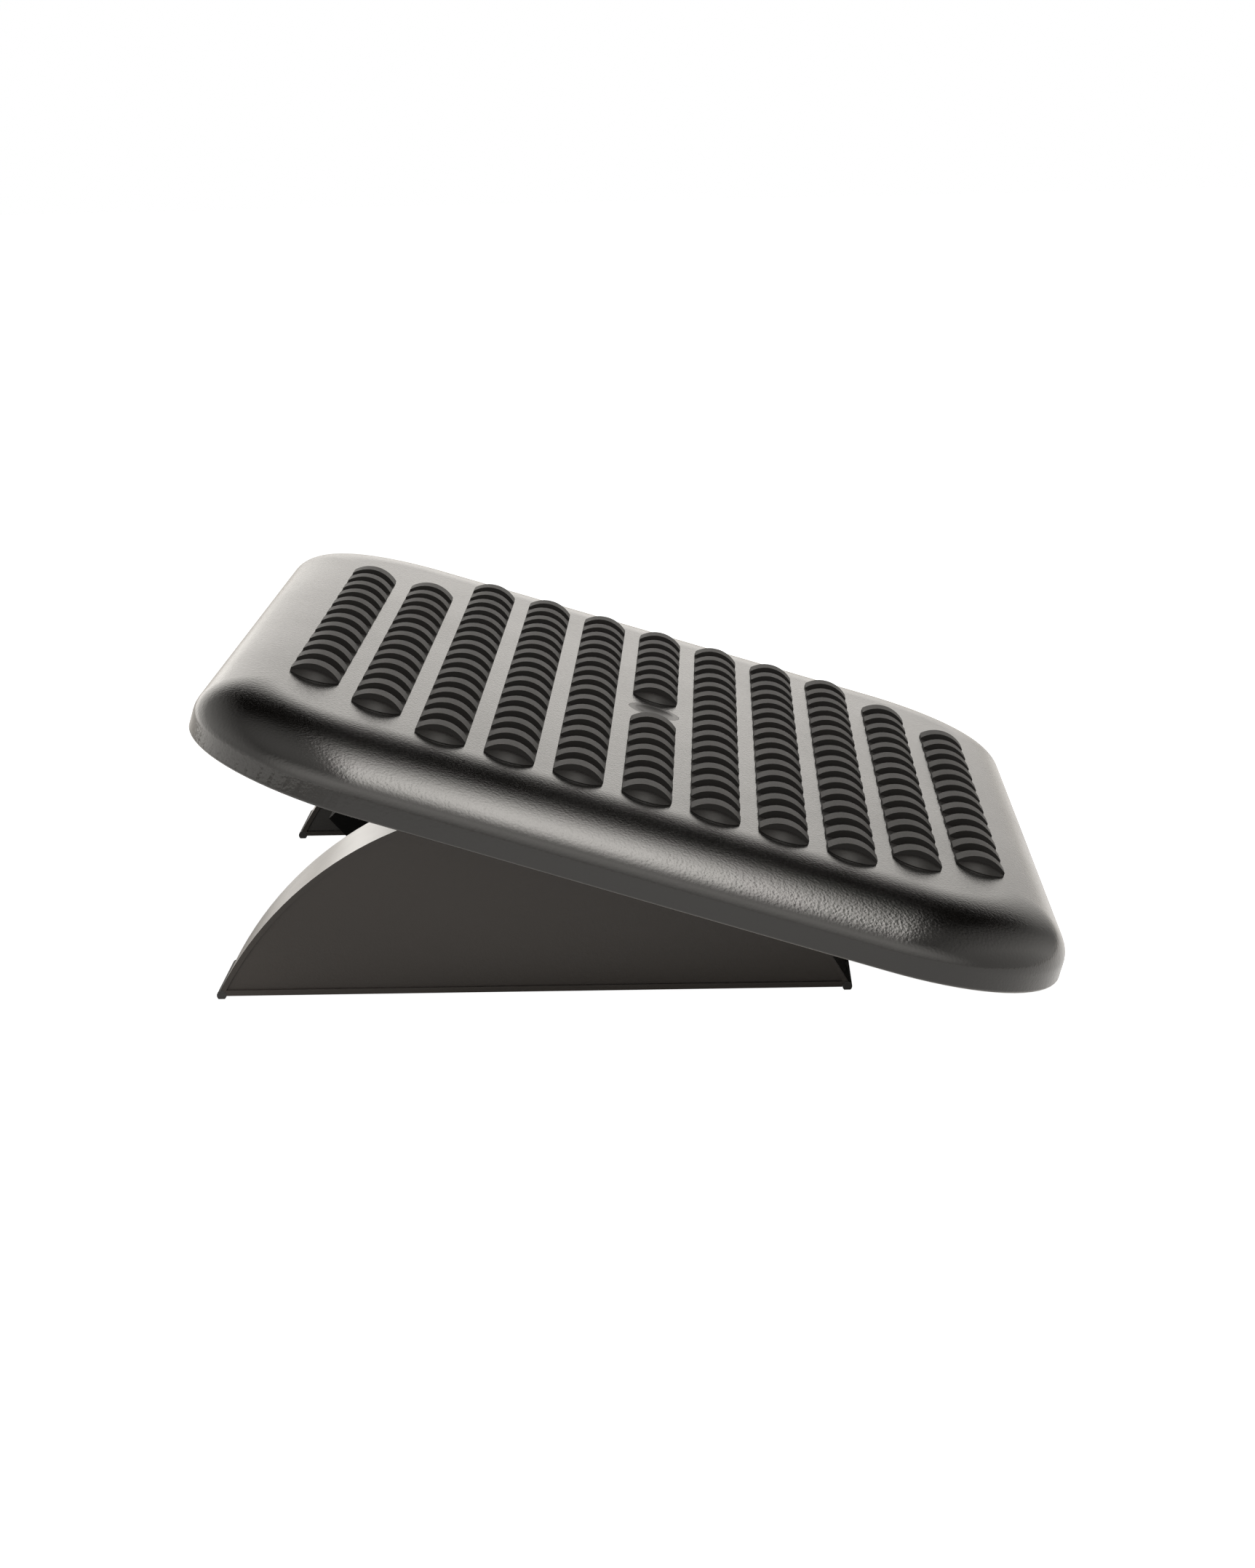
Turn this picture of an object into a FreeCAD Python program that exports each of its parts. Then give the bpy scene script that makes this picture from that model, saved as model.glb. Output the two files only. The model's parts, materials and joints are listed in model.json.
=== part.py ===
import FreeCAD, Part
import math
import os

os.makedirs("parts", exist_ok=True)

# Tilting footrest. All sizes in millimetres and degrees.
# +Z is up, X runs along the width, -Y faces the person, Z = 0 is the floor.
# The deck is drawn level about the tilt axis, then turned to the angle it is stored at.

# Tilt
TILT = 17.5            # angle the deck is stored at, heel edge low
TILT_STOP = 18.5       # angle either side of level where the guide slot ends
SUPPORT_H = 75.9       # top of the sliding arcs above the floor
BASE_Y = 37.5          # the middle of the base lies this far behind the middle of the whole

# Cutters reach this far past what they cut
OVER = 5.0

# Side supports
ARC_R = 138.7          # sliding face of every arc, about the tilt axis
FOOT_H = 1.2           # how far the foot strips lift the supports
SUPPORT_INSET = 70.0   # outer face of a support, in from the deck's short side
SUPPORT_W = 45.0       # width of a support
FLANGE_T = 4.0         # thickness of the curved flange
SOLE_T = 3.0           # thickness of the flat bottom
WEB_T = 3.0            # thickness of the outer wall
RIM_ARC = 2.0          # raised rim along the arc
RIM_SOLE = 2.2         # raised rim along the bottom
RIM_DEPTH = 1.0        # depth of the field inside the rim
COVER_T = 2.6          # thickness of the inner cover
COVER_GAP = 0.15       # gap around the inner cover
COVER_SET = 1.0        # the cover sits this far behind the support's inner edge
COVER_SEAT = 2.0       # width of the ledge the cover sits on
RIB_T = 2.5            # stiffening ribs in a support
RIB_ANGLES = (-48.0, -32.0, -16.0, 0.0, 16.0, 32.0, 48.0)
RIB_BACK = 6.0         # the ribs end this far behind the cover

# Foot strips
STRIP_R = 1.9          # radius of the rubber bead
STRIP_FIT = 0.05       # gap around the bead in its groove
STRIP_IN = 1.6         # bead centre from the corner, inwards
STRIP_FLAT = 2.4       # width of the flat that rests on the floor

# Cross tubes
TUBE_R = 9.0
TUBE_WALL = 2.0
TUBE_Y = 60.0          # tube centre each side of the base's middle
TUBE_Z = 24.0          # tube centre above the floor
TUBE_SHORT = 13.0      # tube end, in from the support's outer face
SOCKET_R = 13.0        # boss around a tube end
TUBE_FIT = 0.1         # radial gap between tube and boss
PILLAR_W = 14.0        # block between boss and bottom that takes the screw

# Screws, all with a round head
SCREW_R = 2.5
SCREW_FIT = 0.05       # radial gap around a shank
SCREW_HEAD_R = 4.6
SCREW_HEAD_H = 2.8
SCREW_LEN = 16.0
SCREW_IN = 25.0        # the screws that hold the tube ends, in from the outer face
SMALL_R = 2.0
SMALL_HEAD_R = 3.6
SMALL_HEAD_H = 2.0
SMALL_LEN = 9.0
COVER_SCREW_ANGLES = (-44.0, -16.0, 16.0, 44.0)
COVER_SCREW_IN = 17.0  # in from the arc
COVER_BOSS_R = 4.5

# Guide rail in the middle
RAIL_W = 44.0
RAIL_T = 6.0
RAIL_HALF = 42.0       # degrees either side of the top
RAIL_RIB_T = 3.0
RAIL_RIB_H = 6.0
SLOT_R = 4.2           # half the width of the slot
COLLAR_R = 14.0
COLLAR_WEB = 16.0      # thickness of the leg between collar and arc
COLLAR_FLAT = 13.0     # flat under the collar, below the tube's centre

# Deck
DECK_W = 450.0
DECK_D = 347.0
DECK_Y = 0.8           # middle of the deck, from the tilt axis
DECK_CORNER = 72.0
DECK_LIFT = 10.93      # flat top above the sliding arcs, deck level
SHOULDER_X = 52.0      # how far the rounded shoulder reaches in from the two short sides
SHOULDER_Y = 27.0      # and from the two long sides
SHOULDER_DROP = 16.5   # height of the rounded shoulder
SKIRT_H = 7.5          # height of the upright skirt below it
SHELL_T = 4.5          # wall below the flat top
SKIRT_T = 3.2          # wall of the skirt
SECTIONS = 13
RIB_H = 5.0
DECK_RIB_T = 2.4
RIB_EDGE = 36.0        # outermost ribs, in from the deck's short sides
RIBS_X = (32.0, 65.0, 100.0)
RIBS_Y = (74.0, 118.0)

# Massage bars
ROWS = 11
ROW_PITCH = 27.2
MIDDLE_Y = -0.7        # middle row, cap and clamp bolt, from the tilt axis
FIN_PITCH = 21.2
BAR_HALF_W = 9.85
BAR_RISE = 4.9
BAR_SIDE = 0.9         # height of the upright side of a bar, above the flat top
NOSE_RISE = 2.6        # height of the low rounded end of a bar, above the flat top
BAR_SEAT = 1.5         # depth of the pocket a bar sits in
BAR_FIT = 0.1          # gap around a bar in its pocket
BAR_END = 7.6          # centre of the rounded end, inside the last pitch line
GROOVE_W = 12.0
GROOVE_FLOOR = 11.0
GROOVE_LEFT = 0.2      # thickness left under a groove, above the flat top
PEG_R = 2.5
PEG_SHORT = 0.2        # the pegs end this far before the underside of the deck
PEG_FIT = 0.05
PEG_IN = 8.0           # in from the centre of a bar's rounded end
MIDDLE_LINE = 8
# each bar: its row, its first and last pitch line counted across the width, and its pegs
BARS = (
    (1, 2, 14, 3), (2, 1, 14, 3), (3, 0, 16, 3), (4, 0, 16, 3), (5, 0, 16, 3), (6, 0, 7, 2),
    (6, 9, 16, 2), (7, 0, 16, 3), (8, 0, 16, 3), (9, 0, 16, 3), (10, 1, 15, 3), (11, 2, 14, 3),
)
BAR_NAMES = (
    "massage_bar_01", "massage_bar_02", "massage_bar_03", "massage_bar_04",
    "massage_bar_05", "massage_bar_06_left", "massage_bar_06_right", "massage_bar_07",
    "massage_bar_08", "massage_bar_09", "massage_bar_10", "massage_bar_11",
)

# Middle clamp
CAP_R = 11.0
CAP_FIT = 0.15
CAP_T = 1.6
CAP_DISH_R = 8.6
CAP_DISH = 0.7
RECESS_FLOOR = 5.2     # depth of the round recess
BOSS_R = 17.0
BOSS_H = 3.0
BOLT_R = 4.0
BOLT_FIT = 0.1
BOLT_HEAD_R = 7.5
BOLT_HEAD_H = 3.2
BOLT_SOCKET_AF = 5.0
BOLT_SOCKET_H = 1.8
BOLT_TAIL = 2.1        # the bolt ends this far below the nut
SADDLE_X = 20.0
SADDLE_Y = 22.0
SLIDE_GAP = 0.3        # gap between sliding arcs
CLAMP_X = 15.0
CLAMP_Y = 17.0
CLAMP_H = 8.9          # height of the clamp block in the middle
SPRING_R = 10.0
SPRING_T = 1.2
SPRING_H = 2.4
NUT_AF = 13.0
NUT_H = 6.5

# Slide shoes under the deck
SHOE_Y0 = 16.0
SHOE_Y1 = 60.0
CHEEK_T = 3.0
CHEEK_GAP = 0.3
CHEEK_H = 8.0
SHOE_BOSS_R = 4.5
SHOE_BOSS_FIT = 0.1
SHOE_BOSS_H = 6.0
POCKET_IN = 6.5        # the pocket in a shoe, in from its screws
POCKET_BACK = 7.0      # from the screws towards the middle of the deck
POCKET_END = 3.0       # wall left at the shoe's end
POCKET_H = 9.0
SHOE_SCREW_Y = 46.0
SHOE_SCREW_IN = (34.0, 11.0)   # in from the support's outer face
SHOE_SCREW_SHORT = 2.0 # the shoe screws end this far below the underside of the deck

# Sizes that follow from the ones above
AXIS_DROP = ARC_R - SUPPORT_H   # the tilt axis lies this far below the floor
SUPPORT_OUT = DECK_W / 2 - SUPPORT_INSET
SUPPORT_IN = SUPPORT_OUT - SUPPORT_W
TUBE_END = SUPPORT_OUT - TUBE_SHORT
SCREW_X = SUPPORT_OUT - SCREW_IN
DECK_TOP = ARC_R + DECK_LIFT
DECK_UNDER = DECK_TOP - SHELL_T
BOLT_ANGLE = math.degrees(math.asin(-MIDDLE_Y / (ARC_R - RAIL_T / 2)))   # place of the bolt on the arc
CLAMP_BASE = ARC_R - RAIL_T - SLIDE_GAP - CLAMP_H
NUT_TOP = CLAMP_BASE - SPRING_H
BOLT_END = NUT_TOP - NUT_H - BOLT_TAIL
SHOE_SCREW_X = (SUPPORT_OUT - SHOE_SCREW_IN[0], SUPPORT_OUT - SHOE_SCREW_IN[1])
SHOE_SCREW_TOP = DECK_UNDER - SHOE_SCREW_SHORT

V = FreeCAD.Vector
ORIGIN = V(0, 0, 0)
AX = V(1, 0, 0)
AY = V(0, 1, 0)
AZ = V(0, 0, 1)


def box(x0, x1, y0, y1, z0, z1):
    return Part.makeBox(x1 - x0, y1 - y0, z1 - z0, V(x0, y0, z0))


def rod_x(r, x0, x1, y, z):
    return Part.makeCylinder(r, x1 - x0, V(x0, y, z), AX)


def rod_z(r, x, y, z0, z1):
    return Part.makeCylinder(r, z1 - z0, V(x, y, z0), AZ)


def prism_x(points, x0, x1):
    wire = Part.makePolygon([V(x0, y, z) for y, z in points + points[:1]])
    return Part.Face(wire).extrude(V(x1 - x0, 0, 0))


def prism_y(points, y0, y1):
    wire = Part.makePolygon([V(x, y0, z) for x, z in points + points[:1]])
    return Part.Face(wire).extrude(V(0, y1 - y0, 0))


def join(shapes):
    whole = shapes[0]
    for shape in shapes[1:]:
        whole = whole.fuse(shape)
    return whole.removeSplitter()


def arc_block(r, x0, x1, floor):
    # a lying D: everything inside the arc and above the given height
    centre_z = -AXIS_DROP
    disc = rod_x(r, x0, x1, 0, centre_z)
    return disc.common(box(x0 - 1, x1 + 1, -r - 1, r + 1, floor, r + 1))


def screw(r, length, head_r, head_h, at, direction):
    # the shank runs along the direction, the head lies behind the given point
    shank = Part.makeCylinder(r, length, at, direction)
    head = Part.makeCylinder(head_r, head_h, at - direction * head_h, direction)
    crown = head.Edges
    end = at - direction * head_h
    rim = [e for e in crown if (e.CenterOfMass - end).Length < 0.01 and len(e.Vertexes) == 1]
    head = head.makeFillet(head_h * 0.35, rim)
    key = Part.makeCylinder(head_r * 0.38, head_h * 0.55, end, direction)
    return shank.fuse(head).removeSplitter().cut(key)


def place_base(shape):
    shape = shape.copy()
    shape.translate(V(0, BASE_Y, 0))
    return shape


def place_deck(shape):
    # level shapes are drawn with the tilt axis at the origin
    shape = shape.copy()
    shape.rotate(ORIGIN, AX, TILT)
    shape.translate(V(0, BASE_Y, -AXIS_DROP))
    return shape


def place_clamp(shape):
    # the bolt and the round pieces on it are drawn on the middle line
    shape = shape.copy()
    shape.translate(V(0, MIDDLE_Y, 0))
    return place_deck(shape)


def save(name, shape, place):
    shape = place(shape)
    if len(shape.Solids) == 1:
        shape = shape.Solids[0]
    shape.exportStep("parts/" + name + ".step")
    bb = shape.BoundBox
    print(name, shape.isValid(), len(shape.Solids), round(shape.Volume), "Y",
          round(bb.YMin, 2), round(bb.YMax, 2), "Z", round(bb.ZMin, 2), round(bb.ZMax, 2))
    return shape


# Base, drawn about its own middle with Z from the floor

def make_support(side):
    x_out = SUPPORT_OUT
    x_in = SUPPORT_IN
    body = arc_block(ARC_R, x_in, x_out, FOOT_H)
    # hollow, open to the inner side
    web_in = x_out - RIM_DEPTH - WEB_T
    hollow = arc_block(ARC_R - FLANGE_T, x_in - 1, web_in, FOOT_H + SOLE_T)
    body = body.cut(hollow)
    # field inside the raised rim of the outer face
    field = arc_block(ARC_R - RIM_ARC, x_out - RIM_DEPTH, x_out + 1, FOOT_H + RIM_SOLE)
    body = body.cut(field)
    # ledge for the inner cover
    ledge = arc_block(ARC_R - FLANGE_T + COVER_SEAT, x_in - 1, x_in + COVER_SET + COVER_T,
                      FOOT_H + SOLE_T - 1.0)
    body = body.cut(ledge)
    cover_back = x_in + COVER_SET + COVER_T
    # radial ribs
    inside = arc_block(ARC_R - FLANGE_T + 0.5, cover_back, web_in + 0.5, FOOT_H + SOLE_T - 0.5)
    for angle in RIB_ANGLES:
        rib = box(cover_back + RIB_BACK, web_in + 0.5, -RIB_T / 2, RIB_T / 2, 0, ARC_R)
        rib.rotate(ORIGIN, AX, angle)
        rib.translate(V(0, 0, -AXIS_DROP))
        body = body.fuse(rib.common(inside))
    # bosses for the tube ends, with a screw block below each
    for y in (-TUBE_Y, TUBE_Y):
        boss = rod_x(SOCKET_R, cover_back, web_in + 0.5, y, TUBE_Z)
        block = box(cover_back, web_in + 0.5, y - PILLAR_W / 2, y + PILLAR_W / 2,
                    FOOT_H + 0.5, TUBE_Z)
        body = body.fuse(boss).fuse(block)
    for y, z in cover_screw_places():
        body = body.fuse(rod_x(COVER_BOSS_R, cover_back, web_in + 0.5, y, z))
    body = body.removeSplitter()
    for y in (-TUBE_Y, TUBE_Y):
        body = body.cut(rod_x(TUBE_R + TUBE_FIT, x_in - 1, TUBE_END, y, TUBE_Z))
        body = body.cut(rod_z(SCREW_R + SCREW_FIT, SCREW_X, y, -1, TUBE_Z))
        body = body.cut(rod_z(SCREW_HEAD_R + 0.4, SCREW_X, y, -1, screw_seat_z()))
    for y, z in cover_screw_places():
        body = body.cut(rod_x(SMALL_R + SCREW_FIT, x_in, cover_back + SMALL_LEN + 1, y, z))
    # grooves for the foot strips
    for y in (-strip_y(), strip_y()):
        body = body.cut(rod_x(STRIP_R + STRIP_FIT, x_in - 1, x_out + 1, y, strip_z()))
    if side < 0:
        body = body.mirror(ORIGIN, AX)
    return body


def cover_screw_places():
    places = []
    for angle in COVER_SCREW_ANGLES:
        a = math.radians(angle)
        r = ARC_R - COVER_SCREW_IN
        places.append((r * math.sin(a), r * math.cos(a) - AXIS_DROP))
    return places


def screw_seat_z():
    return FOOT_H + SOLE_T + 0.6


def half_chord():
    return math.sqrt(ARC_R ** 2 - (AXIS_DROP + FOOT_H) ** 2)


def strip_y():
    return half_chord() - STRIP_IN


def strip_z():
    # the bead is cut flat at the floor
    return math.sqrt(STRIP_R ** 2 - (STRIP_FLAT / 2) ** 2)


def make_cover(side):
    x_in = SUPPORT_IN
    x0 = x_in + COVER_SET
    x1 = x0 + COVER_T
    body = arc_block(ARC_R - FLANGE_T + COVER_SEAT - COVER_GAP, x0, x1,
                     FOOT_H + SOLE_T - 1.0 + COVER_GAP)
    for y in (-TUBE_Y, TUBE_Y):
        body = body.cut(rod_x(TUBE_R + TUBE_FIT, x0 - 1, x1 + 1, y, TUBE_Z))
    for y, z in cover_screw_places():
        body = body.cut(rod_x(SMALL_R + SCREW_FIT, x0 - 1, x1 + 1, y, z))
    if side < 0:
        body = body.mirror(ORIGIN, AX)
    return body


def make_cover_screws(side):
    x0 = SUPPORT_IN + COVER_SET
    out = []
    for y, z in cover_screw_places():
        s = screw(SMALL_R, SMALL_LEN, SMALL_HEAD_R, SMALL_HEAD_H, V(x0, y, z), AX)
        if side < 0:
            s = s.mirror(ORIGIN, AX)
        out.append(s)
    return out


def make_tube(y):
    body = rod_x(TUBE_R, -TUBE_END, TUBE_END, y, TUBE_Z)
    body = body.cut(rod_x(TUBE_R - TUBE_WALL, -TUBE_END - 1, TUBE_END + 1, y, TUBE_Z))
    for x in (-SCREW_X, 0, SCREW_X):
        body = body.cut(rod_z(SCREW_R + SCREW_FIT, x, y, TUBE_Z - TUBE_R - 1, TUBE_Z))
    return body


def make_rail():
    x0 = -RAIL_W / 2
    x1 = RAIL_W / 2
    outer = rod_x(ARC_R, x0, x1, 0, -AXIS_DROP)
    inner = rod_x(ARC_R - RAIL_T, x0 - 1, x1 + 1, 0, -AXIS_DROP)
    sector_r = (ARC_R + OVER) / math.cos(math.radians(RAIL_HALF))
    a = math.radians(RAIL_HALF)
    wedge = prism_x([(0, -AXIS_DROP), (sector_r * math.sin(a), -AXIS_DROP + sector_r * math.cos(a)),
                     (-sector_r * math.sin(a), -AXIS_DROP + sector_r * math.cos(a))], x0 - 2, x1 + 2)
    body = outer.cut(inner).common(wedge)
    # stiffening ribs along both sides, under the arc
    for xa, xb in ((x0, x0 + RAIL_RIB_T), (x1 - RAIL_RIB_T, x1)):
        ring = rod_x(ARC_R - RAIL_T + 0.5, xa, xb, 0, -AXIS_DROP)
        ring = ring.cut(rod_x(ARC_R - RAIL_T - RAIL_RIB_H, xa - 1, xb + 1, 0, -AXIS_DROP))
        body = body.fuse(ring.common(wedge))
    # legs down to a collar around each tube
    for side in (-1, 1):
        y = side * TUBE_Y
        angle = math.degrees(math.atan2(TUBE_Y, TUBE_Z + AXIS_DROP))
        r_tube = math.hypot(TUBE_Y, TUBE_Z + AXIS_DROP)
        leg = box(x0, x1, -COLLAR_WEB / 2, COLLAR_WEB / 2, r_tube, ARC_R - RAIL_T + 0.5)
        leg.rotate(ORIGIN, AX, -side * angle)
        leg.translate(V(0, 0, -AXIS_DROP))
        collar = rod_x(COLLAR_R, x0, x1, y, TUBE_Z)
        body = body.fuse(leg).fuse(collar)
        body = body.cut(rod_x(TUBE_R + TUBE_FIT, x0 - 1, x1 + 1, y, TUBE_Z))
        body = body.cut(box(x0 - 1, x1 + 1, y - COLLAR_R - OVER, y + COLLAR_R + OVER,
                            TUBE_Z - COLLAR_R - OVER, TUBE_Z - COLLAR_FLAT))
        body = body.cut(rod_z(SCREW_R + SCREW_FIT, 0, y, 0, TUBE_Z))
    body = body.removeSplitter()
    # slot that the clamp bolt runs in, its ends are the stops
    ring = rod_x(ARC_R + 1, -SLOT_R, SLOT_R, 0, -AXIS_DROP)
    ring = ring.cut(rod_x(ARC_R - RAIL_T - 1, -SLOT_R - 1, SLOT_R + 1, 0, -AXIS_DROP))
    b = math.radians(TILT_STOP)
    gate = prism_x([(0, -AXIS_DROP), (sector_r * math.sin(b), -AXIS_DROP + sector_r * math.cos(b)),
                    (-sector_r * math.sin(b), -AXIS_DROP + sector_r * math.cos(b))],
                   -SLOT_R - 1, SLOT_R + 1)
    gate.rotate(V(0, 0, -AXIS_DROP), AX, BOLT_ANGLE)
    slot = ring.common(gate)
    for sign in (-1, 1):
        end = rod_z(SLOT_R, 0, 0, ARC_R - RAIL_T - RAIL_RIB_H - OVER, ARC_R + OVER)
        end.rotate(ORIGIN, AX, BOLT_ANGLE + sign * TILT_STOP)
        end.translate(V(0, 0, -AXIS_DROP))
        slot = slot.fuse(end)
    return body.cut(slot)


def make_base_screws():
    out = []
    for y in (-TUBE_Y, TUBE_Y):
        for x in (-SCREW_X, SCREW_X):
            out.append(screw(SCREW_R, SCREW_LEN, SCREW_HEAD_R, SCREW_HEAD_H,
                             V(x, y, screw_seat_z()), AZ))
        out.append(screw(SCREW_R, SCREW_LEN, SCREW_HEAD_R, SCREW_HEAD_H,
                         V(0, y, TUBE_Z - COLLAR_FLAT), AZ))
    return out


def make_strips():
    out = []
    for side in (-1, 1):
        x0 = side * SUPPORT_OUT
        x1 = side * SUPPORT_IN
        for y in (-strip_y(), strip_y()):
            bead = rod_x(STRIP_R, min(x0, x1), max(x0, x1), y, strip_z())
            out.append(bead.common(box(-DECK_W, DECK_W, -ARC_R, ARC_R, 0, 2 * STRIP_R + OVER)))
    return out


# Deck, drawn level about the tilt axis

def slab_wire(hx, hy, rc, z):
    k = math.sqrt(0.5)
    corners = ((1, 1), (-1, 1), (-1, -1), (1, -1))
    edges = []
    points = []
    for sx, sy in corners:
        c = V(sx * (hx - rc), DECK_Y + sy * (hy - rc), z)
        along_x = V(c.x, c.y + sy * rc, z)
        along_y = V(c.x + sx * rc, c.y, z)
        middle = V(c.x + sx * rc * k, c.y + sy * rc * k, z)
        if sx * sy > 0:
            points.append((along_y, middle, along_x))
        else:
            points.append((along_x, middle, along_y))
    for i in range(4):
        first, middle, last = points[i]
        edges.append(Part.Arc(first, middle, last).toShape())
        edges.append(Part.makeLine(last, points[(i + 1) % 4][0]))
    return Part.Wire(edges)


def shoulder(grow, drop_all):
    # the shoulder is a quarter of an ellipse, lofted through level outlines
    wires = []
    for i in range(SECTIONS):
        a = math.pi / 2 * i / (SECTIONS - 1)
        d = SHOULDER_DROP * (1 - math.cos(a))
        inset_x = SHOULDER_X * (1 - math.sin(a))
        inset_y = SHOULDER_Y * (1 - math.sin(a))
        rc = DECK_CORNER - (inset_x + inset_y) / 2 + grow
        wires.append(slab_wire(DECK_W / 2 - inset_x + grow, DECK_D / 2 - inset_y + grow, rc,
                               DECK_TOP - drop_all - d))
    return Part.makeLoft(wires, True, False), wires[-1]


def make_deck():
    top, last = shoulder(0, 0)
    foot = DECK_TOP - SHOULDER_DROP - SKIRT_H
    skirt = Part.Face(last).extrude(V(0, 0, -SKIRT_H))
    body = top.fuse(skirt).removeSplitter()
    edge = [e for e in body.Edges if abs(e.CenterOfMass.z - foot) < 0.01]
    body = body.makeFillet(1.6, edge)
    # hollow from below
    inner, inner_last = shoulder(-SKIRT_T, SHELL_T)
    depth = inner_last.CenterOfMass.z - foot + 1
    hollow = inner.fuse(Part.Face(inner_last).extrude(V(0, 0, -depth)))
    body = body.cut(hollow)
    under = DECK_UNDER
    # stiffening ribs, cut to the inside of the shell
    limit = hollow.common(box(-DECK_W, DECK_W, -DECK_D, DECK_D, under - RIB_H, under + 1))
    ribs = []
    edge_x = DECK_W / 2 - RIB_EDGE
    for x in [-edge_x] + [-v for v in RIBS_X] + list(RIBS_X) + [edge_x]:
        ribs.append(box(x - DECK_RIB_T / 2, x + DECK_RIB_T / 2, DECK_Y - DECK_D / 2 + 1,
                        DECK_Y + DECK_D / 2 - 1, under - RIB_H, under + 0.5))
    for y in [-v for v in RIBS_Y] + list(RIBS_Y):
        ribs.append(box(-DECK_W / 2 + 1, DECK_W / 2 - 1, y - DECK_RIB_T / 2, y + DECK_RIB_T / 2,
                        under - RIB_H, under + 0.5))
    grid = join(ribs)
    shell_and_hollow = body.fuse(limit)
    grid = grid.common(shell_and_hollow)
    body = body.fuse(grid)
    # the middle boss and the shoe bosses
    body = body.fuse(rod_z(BOSS_R, 0, MIDDLE_Y, under - BOSS_H, under + 0.5))
    for x, y in shoe_screws():
        body = body.fuse(rod_z(SHOE_BOSS_R, x, y, under - SHOE_BOSS_H, under + 0.5))
    body = body.removeSplitter()
    body = body.cut(rod_z(CAP_R + CAP_FIT, 0, MIDDLE_Y, DECK_TOP - RECESS_FLOOR, DECK_TOP + 1))
    body = body.cut(rod_z(BOLT_R + BOLT_FIT, 0, MIDDLE_Y, under - BOSS_H - 1, DECK_TOP))
    for x, y in shoe_screws():
        body = body.cut(rod_z(SMALL_R + SCREW_FIT, x, y, under - SHOE_BOSS_H - 1, SHOE_SCREW_TOP + 0.3))
    # pockets and peg holes for the bars
    for row, first, last_line, pegs in BARS:
        y = row_y(row)
        x0, x1 = bar_ends(first, last_line)
        pocket = stadium(x0, x1, y, BAR_HALF_W + BAR_FIT, DECK_TOP - BAR_SEAT, DECK_TOP + 2)
        body = body.cut(pocket)
        for x in peg_places(x0, x1, pegs):
            body = body.cut(rod_z(PEG_R + PEG_FIT, x, y, under - BOSS_H - 1, DECK_TOP))
    return body


def row_y(row):
    return MIDDLE_Y + ((ROWS + 1) / 2 - row) * ROW_PITCH


def line_x(line):
    return (line - MIDDLE_LINE) * FIN_PITCH


def bar_ends(first, last_line):
    return line_x(first) + BAR_END, line_x(last_line) - BAR_END


def peg_places(x0, x1, pegs):
    # pegs stand a little in from each end, and evenly between
    step = (x1 - x0 - 2 * PEG_IN) / (pegs - 1)
    return [x0 + PEG_IN + i * step for i in range(pegs)]


def stadium(x0, x1, y, r, z0, z1):
    body = box(x0, x1, y - r, y + r, z0, z1)
    body = body.fuse(rod_z(r, x0, y, z0, z1)).fuse(rod_z(r, x1, y, z0, z1))
    return body.removeSplitter()


def groove(x, y, reach=0.0):
    # a cut across a bar; with a reach it goes on to that place and so ends the row of grooves
    floor = DECK_TOP + GROOVE_LEFT
    top = DECK_TOP + BAR_RISE + 1
    x0, x1 = x - GROOVE_FLOOR / 2, x + GROOVE_FLOOR / 2
    x2, x3 = x + GROOVE_W / 2, x - GROOVE_W / 2
    if reach < 0:
        x0, x3 = x + reach, x + reach
    elif reach > 0:
        x1, x2 = x + reach, x + reach
    return prism_y([(x0, floor), (x1, floor), (x2, top), (x3, top)],
                   y - BAR_HALF_W - OVER, y + BAR_HALF_W + OVER)


def make_bar(row, first, last_line, pegs):
    y = row_y(row)
    x0, x1 = bar_ends(first, last_line)
    # half-round ridge with short upright sides
    rise = BAR_RISE - BAR_SIDE
    r = (BAR_HALF_W ** 2 + rise ** 2) / (2 * rise)
    body = rod_x(r, x0 - BAR_HALF_W - OVER, x1 + BAR_HALF_W + OVER, y, DECK_TOP + BAR_RISE - r)
    body = body.common(stadium(x0, x1, y, BAR_HALF_W, DECK_TOP - BAR_SEAT, DECK_TOP + BAR_RISE + 1))
    # grooves across it, and the low ends beyond the last ones
    reach = BAR_HALF_W + BAR_END + OVER
    cuts = [groove(line_x(first), y, -reach), groove(line_x(last_line), y, reach)]
    for line in range(first + 1, last_line):
        cuts.append(groove(line_x(line), y))
    body = body.cut(Part.makeCompound(cuts))
    # a low dome on each end
    floor = DECK_TOP + GROOVE_LEFT
    rise = NOSE_RISE - GROOVE_LEFT
    r = (BAR_HALF_W ** 2 + rise ** 2) / (2 * rise)
    inner = FIN_PITCH / 2
    for x, far, near in ((x0, x0 - r, line_x(first) + inner), (x1, x1 + r, line_x(last_line) - inner)):
        dome = Part.makeSphere(r, V(x, y, floor + rise - r))
        dome = dome.common(box(min(far, near), max(far, near), y - r, y + r, floor, floor + r))
        body = body.fuse(dome)
    for x in peg_places(x0, x1, pegs):
        body = body.fuse(rod_z(PEG_R, x, y, DECK_UNDER + PEG_SHORT, DECK_TOP - BAR_SEAT + 0.5))
    return body.removeSplitter()


def shoe_screws():
    places = []
    for side in (-1, 1):
        for x in SHOE_SCREW_X:
            for y in (-SHOE_SCREW_Y, SHOE_SCREW_Y):
                places.append((side * x, y))
    return places


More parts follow.
